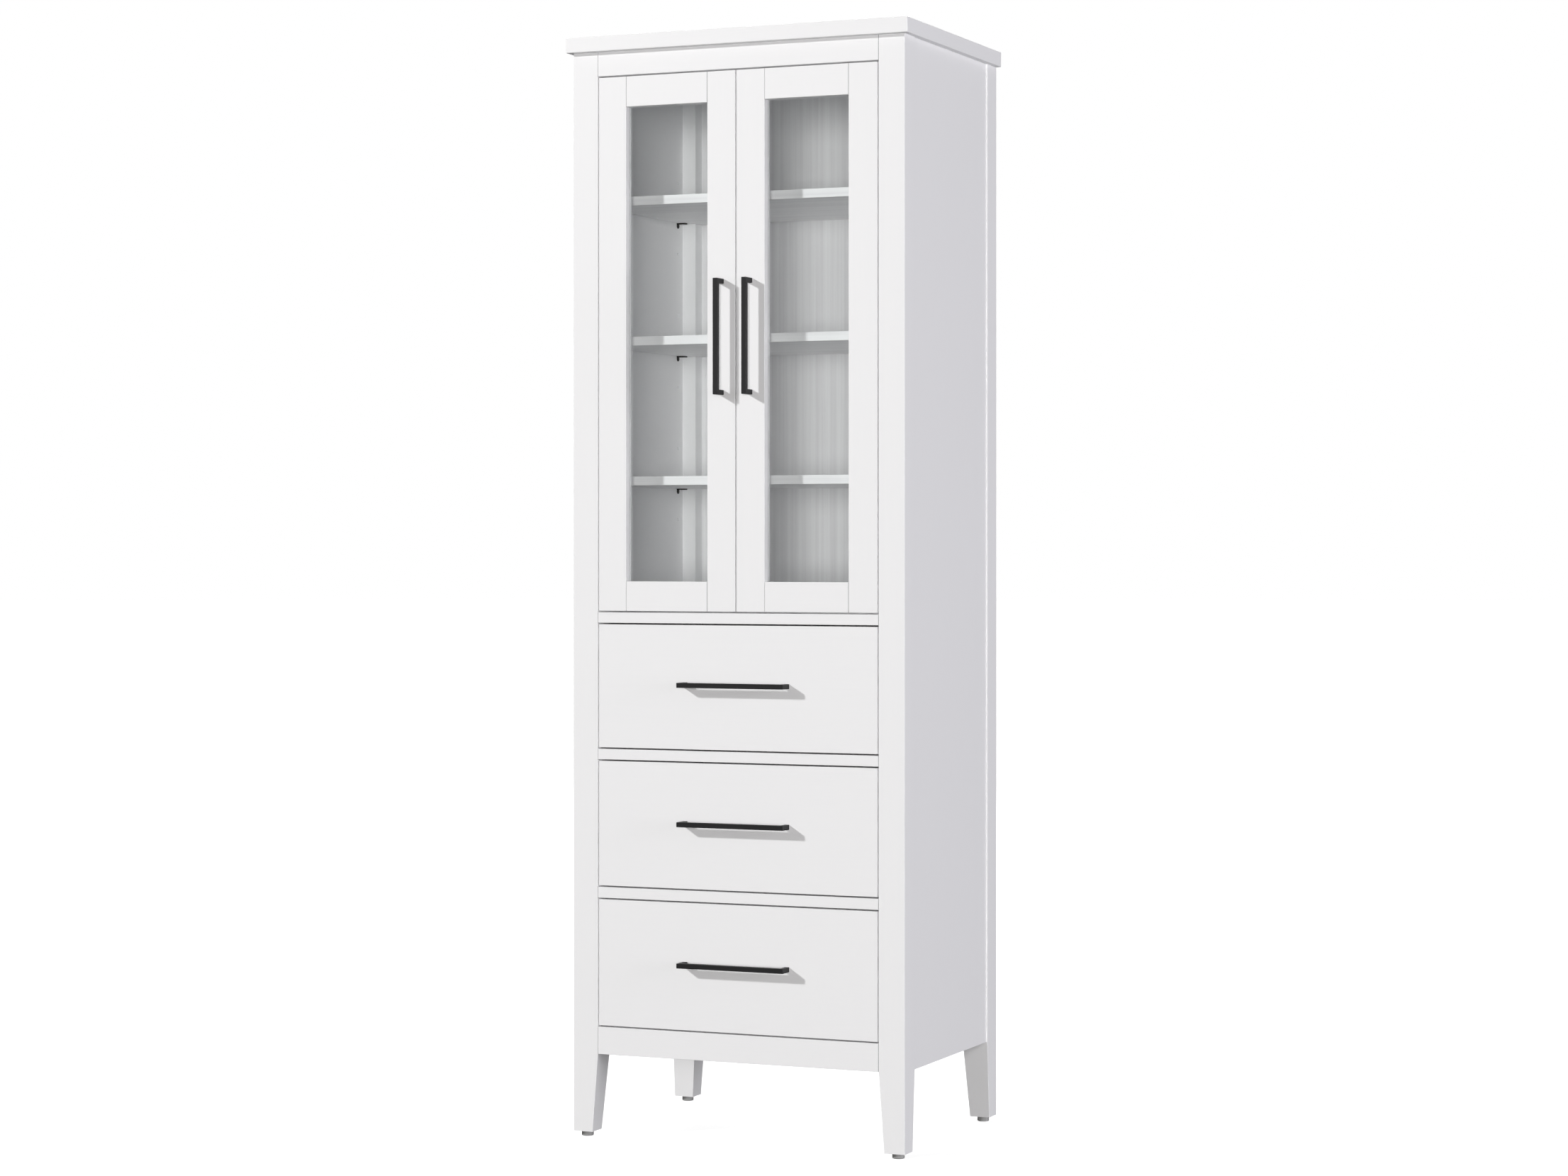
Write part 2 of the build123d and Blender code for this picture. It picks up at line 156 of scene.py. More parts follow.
def disc(radius, rings, spokes):
    """A flat disc: x = r cos a and y = r sin a, over a grid of radii r and angles a."""
    r, a = np.meshgrid(
        radius * np.linspace(0, 1, rings + 1)[1:], np.linspace(0, 2 * np.pi, spokes, False)
    )
    flat = np.stack([r * np.cos(a), r * np.sin(a), 0 * r], axis=-1).reshape(-1, 3)
    quads = [
        (s * rings + k, s * rings + k + 1, e * rings + k + 1, e * rings + k)
        for s in range(spokes)
        for e in [(s + 1) % spokes]
        for k in range(rings - 1)
    ]
    hub = [tuple(s * rings for s in range(spokes))]
    mesh = bpy.data.meshes.new("studio_floor")
    mesh.from_pydata(flat.tolist(), [], quads + hub)
    return mesh


floor_paint = bpy.data.materials.new("matt_white_studio_floor")
floor_paint.use_nodes = True
tree = floor_paint.node_tree
tree.nodes.clear()
place = add_node(tree, "ShaderNodeTexCoord").outputs["Object"]
patch = add_node(
    tree, "ShaderNodeTexNoise", {"Vector": place, "Scale": FLOOR_PATCHES, "Detail": 2.0}
)
paint = add_node(
    tree,
    "ShaderNodeMix",
    {0: patch.outputs["Fac"], 6: linear(FLOOR_TONES[0]), 7: linear(FLOOR_TONES[1])},
    data_type="RGBA",
)
away = add_node(tree, "ShaderNodeVectorMath", {0: place}, operation="LENGTH").outputs["Value"]
brighter = add_node(
    tree,
    "ShaderNodeMapRange",
    {
        "Value": away,
        "From Min": FLOOR_GLOW_REACH[0],
        "From Max": FLOOR_GLOW_REACH[1],
        "To Min": FLOOR_GLOW[0],
        "To Max": FLOOR_GLOW[1],
    },
)
matt = add_node(
    tree,
    "ShaderNodeBsdfPrincipled",
    {
        "Base Color": paint.outputs[2],
        "Roughness": FLOOR_ROUGHNESS,
        "Emission Color": linear(TENT_TONE),
        "Emission Strength": brighter.outputs["Result"],
    },
)
add_node(tree, "ShaderNodeOutputMaterial", {"Surface": matt.outputs["BSDF"]})
floor = bpy.data.objects.new("studio_floor", disc(FLOOR_RADIUS, *FLOOR_GRID))
floor.data.materials.append(floor_paint)
floor.visible_diffuse = False
floor.visible_glossy = False
scene.collection.objects.link(floor)


# ---- Posts and legs -------------------------------------------------------------------------
# Four solid poplar corner posts, each one length from leg to top. They are sanded, primed and
# sprayed with two coats of satin white lacquer, which leaves a fine orange peel over faint grain.
LACQUER = ("F8F8F8", "F4F4F5")
LACQUER_ROUGHNESS = (0.34, 0.44)
LACQUER_IOR = 1.5
PEEL_MM = 2.6
GRAIN_MM = (1.4, 70.0)
CLOUD_MM = 120.0
LEAST_CLOUD = 0.25
PEEL_DEPTH_MM = 0.03
GRAIN_DEPTH_MM = 0.02
# The seam tone is painted shade: the dark line of the gap where two sprayed pieces meet, with
# lacquer sunk into the joint.
SEAM_MM = 0.55
SEAM_SHADE_TONE = "77777A"


def stretch(tree, along, across_mm, along_mm):
    """Object coordinates scaled so that one unit is across_mm wide and along_mm long on an axis."""
    place = add_node(tree, "ShaderNodeTexCoord").outputs["Object"]
    scale = [1 / (across_mm * MM)] * 3
    scale["XYZ".index(along)] = 1 / (along_mm * MM)
    return add_node(tree, "ShaderNodeMapping", {"Vector": place, "Scale": scale}).outputs["Vector"]


def satin_lacquer(name, along, tones=LACQUER, grain_depth_mm=GRAIN_DEPTH_MM, seams=()):
    """Sprayed satin lacquer: cloudy tone, orange peel, and grain that runs along one axis.

    Seams are distances in metres from the middle of the cabinet where the piece meets another. A
    line of SEAM_MM there is darker: painted shade of the gap in the joint, with lacquer sunk into
    it.
    """
    material = bpy.data.materials.new(name)
    material.use_nodes = True
    tree = material.node_tree
    tree.nodes.clear()
    even = add_node(tree, "ShaderNodeTexCoord").outputs["Object"]
    grain = add_node(
        tree,
        "ShaderNodeTexNoise",
        {"Vector": stretch(tree, along, *GRAIN_MM), "Scale": 1.0, "Detail": 3.0},
    ).outputs["Fac"]
    cloud = add_node(
        tree, "ShaderNodeTexNoise", {"Vector": even, "Scale": 1 / (CLOUD_MM * MM), "Detail": 3.0}
    ).outputs["Fac"]
    peel = add_node(
        tree, "ShaderNodeTexNoise", {"Vector": even, "Scale": 1 / (PEEL_MM * MM), "Detail": 1.0}
    ).outputs["Fac"]
    both = add_node(
        tree, "ShaderNodeMath", {0: cloud, 1: grain, 2: LEAST_CLOUD}, operation="MULTIPLY_ADD"
    )
    tone = add_node(
        tree,
        "ShaderNodeMix",
        {0: both.outputs[0], 6: linear(tones[0]), 7: linear(tones[1])},
        data_type="RGBA",
    )
    colour = tone.outputs[2]
    if seams:
        cut = add_node(tree, "ShaderNodeSeparateXYZ", {"Vector": even}).outputs["X"]
        out = add_node(tree, "ShaderNodeMath", {0: cut}, operation="ABSOLUTE").outputs[0]
    # Each seam is a darker line: painted shade of the gap in the joint.
    for seam in seams:
        seam_shade_mask = add_node(
            tree, "ShaderNodeMath", {0: out, 1: seam, 2: SEAM_MM * MM}, operation="COMPARE"
        )
        seam_shaded = add_node(
            tree,
            "ShaderNodeMix",
            {0: seam_shade_mask.outputs[0], 6: colour, 7: linear(SEAM_SHADE_TONE)},
            data_type="RGBA",
        )
        colour = seam_shaded.outputs[2]
    rough = add_node(
        tree,
        "ShaderNodeMapRange",
        {"Value": cloud, "To Min": LACQUER_ROUGHNESS[0], "To Max": LACQUER_ROUGHNESS[1]},
    )
    grained = add_node(
        tree, "ShaderNodeBump", {"Height": grain, "Strength": 1.0, "Distance": grain_depth_mm * MM}
    )
    peeled = add_node(
        tree,
        "ShaderNodeBump",
        {
            "Height": peel,
            "Strength": 1.0,
            "Distance": PEEL_DEPTH_MM * MM,
            "Normal": grained.outputs["Normal"],
        },
    )
    coat = add_node(
        tree,
        "ShaderNodeBsdfPrincipled",
        {
            "Base Color": colour,
            "Roughness": rough.outputs["Result"],
            "Normal": peeled.outputs["Normal"],
            "IOR": LACQUER_IOR,
        },
    )
    add_node(tree, "ShaderNodeOutputMaterial", {"Surface": coat.outputs["BSDF"]})
    return material


def finish_node(name, material):
    """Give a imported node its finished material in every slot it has."""
    mesh = nodes[name].data
    if not mesh.materials:
        mesh.materials.append(material)
    for index in range(len(mesh.materials)):
        mesh.materials[index] = material


upright_lacquer = satin_lacquer("satin_lacquer_on_upright_poplar", "Z")
for name in ("front_left_post", "front_right_post", "rear_left_post", "rear_right_post"):
    finish_node(name, upright_lacquer)


# ---- Foot glides ----------------------------------------------------------------------------
# A round glide of moulded grey polyethylene is nailed under each leg. Its skin is matt from the
# mould, and scuffed in patches from being pushed about on a floor.
GLIDE_TONES = ("ACACAB", "868685")
GLIDE_ROUGHNESS = 0.55
GLIDE_IOR = 1.51
SCUFF_MM = 4.0
DENT_MM = 0.1

glide_plastic = bpy.data.materials.new("moulded_grey_polyethylene")
glide_plastic.use_nodes = True
tree = glide_plastic.node_tree
tree.nodes.clear()
place = add_node(tree, "ShaderNodeTexCoord").outputs["Object"]
scuff = add_node(
    tree, "ShaderNodeTexNoise", {"Vector": place, "Scale": 1 / (SCUFF_MM * MM), "Detail": 4.0}
).outputs["Fac"]
tone = add_node(
    tree,
    "ShaderNodeMix",
    {0: scuff, 6: linear(GLIDE_TONES[0]), 7: linear(GLIDE_TONES[1])},
    data_type="RGBA",
)
dents = add_node(tree, "ShaderNodeBump", {"Height": scuff, "Distance": DENT_MM * MM})
moulded = add_node(
    tree,
    "ShaderNodeBsdfPrincipled",
    {
        "Base Color": tone.outputs[2],
        "Roughness": GLIDE_ROUGHNESS,
        "IOR": GLIDE_IOR,
        "Normal": dents.outputs["Normal"],
    },
)
add_node(tree, "ShaderNodeOutputMaterial", {"Surface": moulded.outputs["BSDF"]})
finish_node("foot_glides", glide_plastic)


# ---- Side panels, rails and top ---------------------------------------------------------------
# The side panels are 18 mm MDF let in between the posts, with no grain of their own. The front
# rails are poplar, doweled to the posts. All are sprayed with the posts; the rails' grain is level.
MDF_GRAIN_DEPTH_MM = 0.01

panel_lacquer = satin_lacquer("satin_lacquer_on_fibreboard", "Z", LACQUER, MDF_GRAIN_DEPTH_MM)
for name in ("left_side_panel", "right_side_panel"):
    finish_node(name, panel_lacquer)

level_lacquer = satin_lacquer("satin_lacquer_on_level_poplar", "X")
for name in ("top_board", "rear_rails"):
    finish_node(name, level_lacquer)

# The case rails' ends carry a dark line: painted shade of the joint with the posts.
rail_lacquer = satin_lacquer(
    "satin_lacquer_on_case_rails", "X", seams=[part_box("top_rail")[1].x]
)
for name in ("top_rail", "middle_rail", "upper_drawer_rail", "lower_drawer_rail", "bottom_rail"):
    finish_node(name, rail_lacquer)


# ---- Back panel, boards and shelves -----------------------------------------------------------
# Inside, the back, the boards, the shelves and the cleats are fibreboard with a thinner white
# coat. Its embossed grain runs upright on the back and level on the boards, in faint streaks.
BOARD_TONES = ("FAFAFA", "ECEBEC")
BOARD_GRAIN_DEPTH_MM = 0.03
STREAK_MM = (9.0, 900.0)
STREAK_CONTRAST = (0.35, 0.65)
SMOOTH_UNDER = 35


def streaked_coat(name, along):
    """A thin white coat over embossed board: streaks along one axis, over the satin lacquer."""
    material = satin_lacquer(name, along, BOARD_TONES, BOARD_GRAIN_DEPTH_MM)
    tree = material.node_tree
    streaks = add_node(
        tree,
        "ShaderNodeTexNoise",
        {"Vector": stretch(tree, along, *STREAK_MM), "Scale": 1.0, "Detail": 4.0, "Roughness": 0.6},
    )
    contrast = add_node(
        tree,
        "ShaderNodeMapRange",
        {
            "Value": streaks.outputs["Fac"],
            "From Min": STREAK_CONTRAST[0],
            "From Max": STREAK_CONTRAST[1],
        },
    )
    tone = next(n for n in tree.nodes if n.bl_idname == "ShaderNodeMix")
    tree.links.new(contrast.outputs["Result"], tone.inputs[0])
    return material


def build_solids(name, stacks, material, body=None):
    """Closed solids, as one piece: quads join each ring to the next, and a face shuts each end.

    A stack is an array of copies, rings, points round a ring, and x, y and z in metres. A piece
    with no body is left free.
    """
    corners, faces = [], []
    for stack in stacks:
        copies, rings, points, _ = stack.shape
        index = sum(map(len, corners)) + np.arange(copies * rings * points)
        index = index.reshape(copies, rings, points)
        round_index = np.roll(index, -1, axis=2)
        quads = [index[:, :-1], round_index[:, :-1], round_index[:, 1:], index[:, 1:]]
        faces += np.stack(quads, axis=-1).reshape(-1, 4).tolist()
        faces += index[:, 0].tolist() + index[:, -1].tolist()
        corners.append(stack.reshape(-1, 3))
    mesh = bpy.data.meshes.new(name)
    mesh.from_pydata(np.concatenate(corners).tolist(), [], faces)
    shell = bmesh.new()
    shell.from_mesh(mesh)
    bmesh.ops.recalc_face_normals(shell, faces=shell.faces)
    shell.to_mesh(mesh)
    shell.free()
    mesh.shade_smooth()
    mesh.set_sharp_from_angle(angle=math.radians(SMOOTH_UNDER))
    mesh.materials.append(material)
    piece = bpy.data.objects.new(name, mesh)
    scene.collection.objects.link(piece)
    if body:
        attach(piece, body)
    return piece


upright_coat = streaked_coat("white_coated_board_upright", "Z")
level_coat = streaked_coat("white_coated_board_level", "X")
finish_node("back_panel", upright_coat)
for name in (
    "door_stop",
    "divider_board",
    "bottom_board",
    "lower_shelf",
    "middle_shelf",
    "upper_shelf",
    "runner_cleats",
):
    finish_node(name, level_coat)


# ---- Back panel staples -------------------------------------------------------------------------
# Wire staples, zinc plated and shot from an air gun, hold the back panel along the rear posts and
# to the divider board. Only their crowns show, each tipped a little by hand.
STAPLE_MM = (10.0, 1.2, 0.7)
STAPLE_INSET = 9 * MM
STAPLE_STEP = 98 * MM
STAPLE_TILT = 7
STAPLE_SEED = 7
STAPLE_RINGS = 7
STAPLE_ROUND = 6
STAPLE_END = 0.97
ZINC_TONES = ("CDD1D6", "B9BDC4")
WIRE_ROUGHNESS = (0.3, 0.45)
WIRE_LINE_MM = (0.4, 20)
PLATING_CLOUD_MM = 12.0
ROLLED_DEPTH_MM = 0.01


def plated_steel(name, tones, roughness, along, line_mm):
    """Plated steel: fine lines along the way it was drawn or rolled, and a cloudy plating."""
    material = bpy.data.materials.new(name)
    material.use_nodes = True
    tree = material.node_tree
    tree.nodes.clear()
    lines = add_node(
        tree,
        "ShaderNodeTexNoise",
        {"Vector": stretch(tree, along, *line_mm), "Scale": 1.0, "Detail": 3.0},
    ).outputs["Fac"]
    even = add_node(tree, "ShaderNodeTexCoord").outputs["Object"]
    cloud = add_node(
        tree,
        "ShaderNodeTexNoise",
        {"Vector": even, "Scale": 1 / (PLATING_CLOUD_MM * MM), "Detail": 3.0},
    ).outputs["Fac"]
    tone = add_node(
        tree,
        "ShaderNodeMix",
        {0: cloud, 6: linear(tones[0]), 7: linear(tones[1])},
        data_type="RGBA",
    )
    rough = add_node(
        tree,
        "ShaderNodeMapRange",
        {"Value": lines, "To Min": roughness[0], "To Max": roughness[1]},
    )
    scored = add_node(tree, "ShaderNodeBump", {"Height": lines, "Distance": ROLLED_DEPTH_MM * MM})
    steel = add_node(
        tree,
        "ShaderNodeBsdfPrincipled",
        {
            "Base Color": tone.outputs[2],
            "Metallic": 1.0,
            "Roughness": rough.outputs["Result"],
            "Normal": scored.outputs["Normal"],
        },
    )
    add_node(tree, "ShaderNodeOutputMaterial", {"Surface": steel.outputs["BSDF"]})
    return material


def staple_crowns(centres, upright):
    """Crowns in the XZ plane: half an ellipse across, swept along, drawn in to nothing at each end.

    A ring at share u of the length has its width and height scaled by (1 - u ** 6) ** 0.5.
    """
    length, width, height = np.array(STAPLE_MM) * MM
    u = np.linspace(-STAPLE_END, STAPLE_END, STAPLE_RINGS)[None, :, None]
    a = np.linspace(0, np.pi, STAPLE_ROUND)[None, None, :]
    draw = np.sqrt(1 - u**6)
    along, across = u * length / 2 + 0 * a, draw * width / 2 * np.cos(a)
    out = draw * height * np.sin(a)
    slip = STAPLE_TILT * chance.uniform(-1, 1, len(centres))
    tilt = np.radians(np.where(upright, 90, 0) + slip)[:, None, None]
    x = along * np.cos(tilt) - across * np.sin(tilt)
    z = along * np.sin(tilt) + across * np.cos(tilt)
    shape = np.stack([x, out + 0 * x, z], axis=-1)
    return shape + np.array(centres)[:, None, None, :]


chance = np.random.default_rng(STAPLE_SEED)
zinc_wire = plated_steel(
    "zinc_plated_staple_wire", ZINC_TONES, WIRE_ROUGHNESS, "Z", WIRE_LINE_MM
)
panel_low, panel_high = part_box("back_panel")
divider_low, divider_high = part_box("divider_board")
heights = np.arange(
    panel_low.z + 1.5 * STAPLE_STEP, panel_high.z - 0.8 * STAPLE_STEP, STAPLE_STEP
)
spread = np.arange(panel_low.x + STAPLE_STEP, panel_high.x - STAPLE_STEP / 2, STAPLE_STEP)
edge = panel_high.x - STAPLE_INSET
beside = [(x, panel_high.y, z) for x in (-edge, edge) for z in heights]
level = [(x, panel_high.y, (divider_low.z + divider_high.z) / 2) for x in spread]
crowns = staple_crowns(beside + level, np.arange(len(beside + level)) < len(beside))
build_solids("back_panel_staples", [crowns], zinc_wire, "cabinet")


# ---- Shelf pins -------------------------------------------------------------------------------
# Spoon-shaped steel pins push into holes in the side panels and carry the shelves. Their dark
# bronze plating is cloudy, with fine lines along each pin.
BRONZE_TONES = ("1A1715", "2E2925")
BRONZE_ROUGHNESS = (0.35, 0.5)
BRONZE_LINE_MM = (0.3, 6)

bronze = plated_steel(
    "dark_bronze_plated_steel", BRONZE_TONES, BRONZE_ROUGHNESS, "X", BRONZE_LINE_MM
)
finish_node("shelf_pins", bronze)


# ---- Concealed hinges -------------------------------------------------------------------------
# Cups, arms and plates are pressed from steel strip and nickel plated. The plating is bright, with
# fine lines along the strip.
NICKEL_TONES = ("C9C6BF", "B4B1AB")
NICKEL_ROUGHNESS = (0.22, 0.34)
NICKEL_LINE_MM = (0.4, 30)

nickel = plated_steel(
    "nickel_plated_pressed_steel", NICKEL_TONES, NICKEL_ROUGHNESS, "Z", NICKEL_LINE_MM
)
for name in ("hinge_plates", "hinge_arms", "left_hinge_cups", "right_hinge_cups"):
    finish_node(name, nickel)


# ---- Hinge screws -------------------------------------------------------------------------------
# Nickel-plated screws with a cross recess: two through the wings of each cup, two through each
# plate, and one on the heel of each arm that sets the door's overlap.
HEAD_POINTS = 24
CUP_SCREW = (3.1 * MM, 1.0 * MM)
CUP_SCREW_SPREAD = 23.8 * MM
PLATE_SCREW = (3.6 * MM, 1.4 * MM)
PLATE_SCREW_SPREAD = 16.5 * MM
ARM_SCREW = (3.3 * MM, 1.2 * MM)
ARM_SCREW_BACK = 1.5 * MM
ARM_HALF = 6.5 * MM
ARM_HEEL = 9 * MM
PLATE_THICK = 2 * MM


def screw_heads(seats, axis, size):
    """Domed heads with a cross recess, each a stack of rings about an axis, from seat to middle.

    Rings shrink from the rim inwards and climb from seat to crown; inside half the radius, points
    that lie in an arm of the cross drop to its floor.
    """
    radius, height = size
    shrink = np.array([1.0, 1.0, 0.94, 0.78, 0.54, 0.5, 0.2, 0.14, 0.05])
    climb = np.array([0.0, 0.35, 0.72, 0.94, 1.0, 1.0, 1.0, 0.2, 0.2])
    sunk = np.array([0, 0, 0, 0, 0, 0.75, 0.8, 0, 0])
    turn = np.arange(HEAD_POINTS)
    arm = np.isin(turn % (HEAD_POINTS // 4), (0, 1, HEAD_POINTS // 4 - 1))
    a = 2 * np.pi * turn / HEAD_POINTS
    out = height * (climb[:, None] - sunk[:, None] * arm[None, :])
    axis = np.array(axis, float)
    across, up = np.roll(axis, 1), np.roll(axis, 2)
    flat = radius * shrink[:, None, None] * (
        np.cos(a)[None, :, None] * across + np.sin(a)[None, :, None] * up
    )
    head = flat + out[..., None] * axis
    return np.array(seats)[:, None, None, :] + head[None]


plates_low, plates_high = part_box("hinge_plates")
plate_middle = (plates_low.y + plates_high.y) / 2
arms_low, arms_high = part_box("hinge_arms")
hinge_levels = (arms_low.z + ARM_HALF, arms_high.z - ARM_HALF)
heel = arms_high.x - ARM_HEEL
for side, sign in (("left", -1), ("right", 1)):
    cup_low, cup_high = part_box(f"{side}_hinge_cups")
    middle = (cup_low.x + cup_high.x) / 2
    cup_seats = [
        (middle, cup_high.y, z + step)
        for z in hinge_levels
        for step in (-CUP_SCREW_SPREAD, CUP_SCREW_SPREAD)
    ]
    heads = screw_heads(cup_seats, (0, 1, 0), CUP_SCREW)
    build_solids(f"{side}_cup_screws", [heads], nickel, f"{side}_door")
    plate_seats = [
        (sign * (plates_high.x - PLATE_THICK), plate_middle, z + step)
        for z in hinge_levels
        for step in (-PLATE_SCREW_SPREAD, PLATE_SCREW_SPREAD)
    ]
    arm_seats = [(sign * heel, plate_middle + ARM_SCREW_BACK, z) for z in hinge_levels]
    stacks = [
        screw_heads(plate_seats, (-sign, 0, 0), PLATE_SCREW),
        screw_heads(arm_seats, (-sign, 0, 0), ARM_SCREW),
    ]
    build_solids(f"{side}_plate_screws", stacks, nickel, "cabinet")


# ---- Hinge links --------------------------------------------------------------------------------
# Between arm and cup run the links, thin pressed steel, nickel plated. Closed, they lie folded in
# the cup, and they are built in that closed place, left free of any body.
LINK_PATH_MM = [(222.4, -186.6), (224.0, -184.5), (228.0, -183.3), (232.0, -184.5), (237.0, -193.4)]
LINK_RINGS = 24
LINK_HALF = 4.4 * MM
LINK_THICK = 1.4 * MM


def link_strips(sign, levels):
    """A strip of even thickness along a path in the XY plane, as wide as 2 * LINK_HALF in Z.

    Each ring is the path's point, half the thickness each way along the path's normal.
    """
    knots = np.array(LINK_PATH_MM) * MM
    share = np.linspace(0, len(knots) - 1, LINK_RINGS * (len(knots) - 1) + 1)
    path = np.stack([np.interp(share, np.arange(len(knots)), knots[:, k]) for k in (0, 1)], axis=-1)
    way = np.gradient(path, axis=0)
    way /= np.linalg.norm(way, axis=1)[:, None]
    normal = np.stack([-way[:, 1], way[:, 0]], axis=-1) * LINK_THICK / 2
    front, back = path + normal, path - normal
    flat = np.stack([front, front, back, back], axis=1) * (sign, 1)
    rise = LINK_HALF * np.array([-1, 1, 1, -1])
    z = np.array(levels)[:, None, None] + rise[None, None, :]
    z = np.broadcast_to(z, (len(levels), len(path), 4))
    flat = np.broadcast_to(flat[None], (len(levels), len(path), 4, 2))
    return np.concatenate([flat, z[..., None]], axis=-1)


for side, sign in (("left", -1), ("right", 1)):
    links = build_solids(
        f"{side}_hinge_links", [link_strips(sign, hinge_levels)], nickel
    )
    start, end = [(sign * x * MM, y * MM, hinge_levels[0]) for x, y in LINK_PATH_MM[1:4:2]]
    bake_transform(links)


# ---- Doors ------------------------------------------------------------------------------------
# Each door is a mortised frame of two upright stiles and two level rails, sprayed after assembly,
# with four glazing beads pinned in behind the glass.
rail_low, rail_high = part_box("right_door_top_rail")
# The door rails' ends carry a dark line: painted shade of the joint with the stiles.
door_rail_lacquer = satin_lacquer(
    "satin_lacquer_on_door_rails", "X", seams=[rail_low.x, rail_high.x]
)
for side in ("left", "right"):
    for part in ("hinge_stile", "meeting_stile", "beads"):
        finish_node(f"{side}_door_{part}", upright_lacquer)
    for part in ("top_rail", "bottom_rail"):
        finish_node(f"{side}_door_{part}", door_rail_lacquer)


# ---- Glass ------------------------------------------------------------------------------------
# One pane of clear 3 mm float glass in each door. It lets nearly all light straight through, and
# mirrors a little, more at a slant, with faint wiping marks in the shine.
GLASS_TINT = "FEFFFF"
GLASS_IOR = 1.52
WIPE_MM = (14.0, 160.0)
WIPE_ROUGHNESS = (0.0, 0.06)

float_glass = bpy.data.materials.new("clear_float_glass")
float_glass.use_nodes = True
tree = float_glass.node_tree
tree.nodes.clear()
wiped = add_node(
    tree,
    "ShaderNodeTexNoise",
    {"Vector": stretch(tree, "Z", *WIPE_MM), "Scale": 1.0, "Detail": 2.0},
)
smear = add_node(
    tree,
    "ShaderNodeMapRange",
    {"Value": wiped.outputs["Fac"], "To Min": WIPE_ROUGHNESS[0], "To Max": WIPE_ROUGHNESS[1]},
)
through = add_node(tree, "ShaderNodeBsdfTransparent", {"Color": linear(GLASS_TINT)})
mirror = add_node(
    tree, "ShaderNodeBsdfGlossy", {"Color": linear("FFFFFF"), "Roughness": smear.outputs["Result"]}
)
slant = add_node(tree, "ShaderNodeFresnel", {"IOR": GLASS_IOR})
back = add_node(tree, "ShaderNodeNewGeometry").outputs["Backfacing"]
front = add_node(tree, "ShaderNodeMath", {0: 1.0, 1: back}, operation="SUBTRACT")
share = add_node(
    tree, "ShaderNodeMath", {0: slant.outputs["Fac"], 1: front.outputs[0]}, operation="MULTIPLY"
)
pane = add_node(
    tree,
    "ShaderNodeMixShader",
    {0: share.outputs[0], 1: through.outputs[0], 2: mirror.outputs[0]},
)
add_node(tree, "ShaderNodeOutputMaterial", {"Surface": pane.outputs["Shader"]})
for side in ("left", "right"):
    finish_node(f"{side}_door_glass", float_glass)


# ---- Handles ----------------------------------------------------------------------------------
# Square bar pulls cast in zinc alloy and powder coated matt black. The powder melts into a fine
# even grit, slightly darker and brighter from spot to spot.
BLACK_TONES = ("141415", "1B1B1C")
POWDER_MM = 0.7
POWDER_DEPTH_MM = 0.03
POWDER_ROUGHNESS = 0.55
POWDER_IOR = 1.5
POWDER_SHINE = 0.3

black_powder = bpy.data.materials.new("matt_black_powder_coat")
black_powder.use_nodes = True
tree = black_powder.node_tree
tree.nodes.clear()
place = add_node(tree, "ShaderNodeTexCoord").outputs["Object"]
grit = add_node(
    tree, "ShaderNodeTexNoise", {"Vector": place, "Scale": 1 / (POWDER_MM * MM), "Detail": 2.0}
).outputs["Fac"]
tone = add_node(
    tree,
    "ShaderNodeMix",
    {0: grit, 6: linear(BLACK_TONES[0]), 7: linear(BLACK_TONES[1])},
    data_type="RGBA",
)
pitted = add_node(tree, "ShaderNodeBump", {"Height": grit, "Distance": POWDER_DEPTH_MM * MM})
powder = add_node(
    tree,
    "ShaderNodeBsdfPrincipled",
    {
        "Base Color": tone.outputs[2],
        "Roughness": POWDER_ROUGHNESS,
        "IOR": POWDER_IOR,
        "Specular IOR Level": POWDER_SHINE,
        "Normal": pitted.outputs["Normal"],
    },
)
add_node(tree, "ShaderNodeOutputMaterial", {"Surface": powder.outputs["BSDF"]})
for name in ("left_door", "right_door", "top_drawer", "middle_drawer", "bottom_drawer"):
    finish_node(f"{name}_handle", black_powder)


# ---- Handle screws ------------------------------------------------------------------------------
# Each pull is held from behind by two M4 machine screws with wide zinc-plated heads. On the doors
# they bear on the back of the meeting stile, and in the drawers on the inside of the box.
HANDLE_SCREW = (4.6 * MM, 2.2 * MM)
FOOT_HALF = 4 * MM
BOX_BOARD = 12 * MM
SCREW_ROUGHNESS = (0.25, 0.4)
SCREW_LINE_MM = (0.5, 20)

bright_zinc = plated_steel(
    "bright_zinc_plated_screw", ZINC_TONES, SCREW_ROUGHNESS, "Y", SCREW_LINE_MM
)
for side in ("left", "right"):
    low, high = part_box(f"{side}_door_handle")
    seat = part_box(f"{side}_door_meeting_stile")[1].y
    seats = [((low.x + high.x) / 2, seat, z) for z in (low.z + FOOT_HALF, high.z - FOOT_HALF)]
    heads = screw_heads(seats, (0, 1, 0), HANDLE_SCREW)
    build_solids(f"{side}_door_handle_screws", [heads], bright_zinc, f"{side}_door")
for drawer in ("top", "middle", "bottom"):
    low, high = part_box(f"{drawer}_drawer_handle")
    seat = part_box(f"{drawer}_drawer_box")[0].y + BOX_BOARD
    seats = [(x, seat, (low.z + high.z) / 2) for x in (low.x + FOOT_HALF, high.x - FOOT_HALF)]
    heads = screw_heads(seats, (0, 1, 0), HANDLE_SCREW)
    build_solids(
        f"{drawer}_drawer_handle_screws", [heads], bright_zinc, f"{drawer}_drawer"
    )


